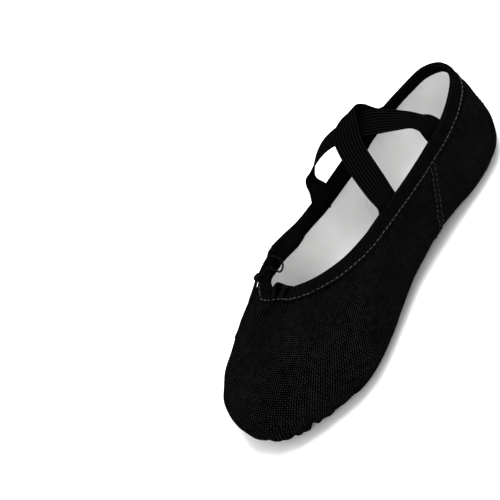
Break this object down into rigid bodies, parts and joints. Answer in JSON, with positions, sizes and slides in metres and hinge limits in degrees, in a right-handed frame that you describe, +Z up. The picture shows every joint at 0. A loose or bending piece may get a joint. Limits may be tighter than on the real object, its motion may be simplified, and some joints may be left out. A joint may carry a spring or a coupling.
{
  "type": "ballet slipper",
  "caption": "Split-sole canvas ballet slipper with crossed instep elastics, drawstring binding and suede sole pads.",
  "frame": {"origin": "on the ground, under the middle of the slipper's length and width", "axes": "+Y from toe to heel, +Z up, +X the wearer's left"},
  "size_m": [0.0858, 0.2055, 0.0705],
  "materials": {
    "black_canvas": "plain-woven matt cotton canvas",
    "white_cotton": "fine off-white cotton drill",
    "black_tape": "matt cotton tape",
    "black_cord": "braided cotton cord",
    "black_suede": "napped split suede",
    "dark_thread": "spun sewing thread, slightly greyer than the canvas",
    "sock_fabric": "smooth off-white woven sock",
    "black_elastic": "ribbed knitted elastic"
  },
  "bodies": {
    "forefoot": {"vamp_canvas": "black_canvas", "vamp_lining": "white_cotton", "forefoot_sole_pad": "black_suede", "forefoot_pad_stitch_outer": "dark_thread", "forefoot_pad_stitch_inner": "dark_thread", "forefoot_footbed": "white_cotton", "bow_knot": "black_cord", "bow_loop_rear": "black_cord", "bow_loop_front": "black_cord", "bow_end_left": "black_cord", "bow_end_right": "black_cord"},
    "heel": {"quarter_canvas_left": "black_canvas", "quarter_canvas_right": "black_canvas", "quarter_lining_left": "white_cotton", "quarter_lining_right": "white_cotton", "heel_footbed": "white_cotton", "topline_binding": "black_tape", "drawstring": "black_cord", "heel_sole_pad": "black_suede", "heel_pad_stitch_outer": "dark_thread", "heel_pad_stitch_inner": "dark_thread", "tack_left_front": "dark_thread", "tack_left_rear": "dark_thread", "tack_right_front": "dark_thread", "tack_right_rear": "dark_thread", "binding_stitch": "dark_thread", "side_stitch_left_front": "dark_thread", "side_stitch_left_rear": "dark_thread", "side_stitch_right_front": "dark_thread", "side_stitch_right_rear": "dark_thread", "back_stitch": "dark_thread", "arch_stitch_left": "dark_thread", "arch_stitch_right": "dark_thread", "heel_sock": "sock_fabric"},
    "elastic_a": {"instep_elastic_a": "black_elastic"},
    "elastic_b": {"instep_elastic_b": "black_elastic"}
  },
  "joints": [
    {"name": "sole_flex", "type": "hinge", "parent": "forefoot", "child": "heel", "pos_m": [0, -0.02, 0.0021], "axis": [1, 0, 0], "range_deg": [0, 25], "stiffness_Nm_per_rad": 0.02, "deforming": ["vamp_canvas", "vamp_lining", "topline_binding", "drawstring", "binding_stitch", "forefoot_footbed", "heel_footbed"]},
    {"name": "elastic_a_swing", "type": "hinge", "parent": "heel", "child": "elastic_a", "pos_m": [0.0011, 0.04, 0.04375], "axis": [-0.6615, 0.7495, 0.0244], "range_deg": [-25, 25], "stiffness_Nm_per_rad": 0.004, "deforming": ["instep_elastic_a", "instep_elastic_b"]},
    {"name": "elastic_b_swing", "type": "hinge", "parent": "heel", "child": "elastic_b", "pos_m": [-0.0007, 0.036, 0.0435], "axis": [-0.593, -0.8046, -0.0298], "range_deg": [-25, 25], "stiffness_Nm_per_rad": 0.004, "deforming": ["instep_elastic_a", "instep_elastic_b"]}
  ]
}
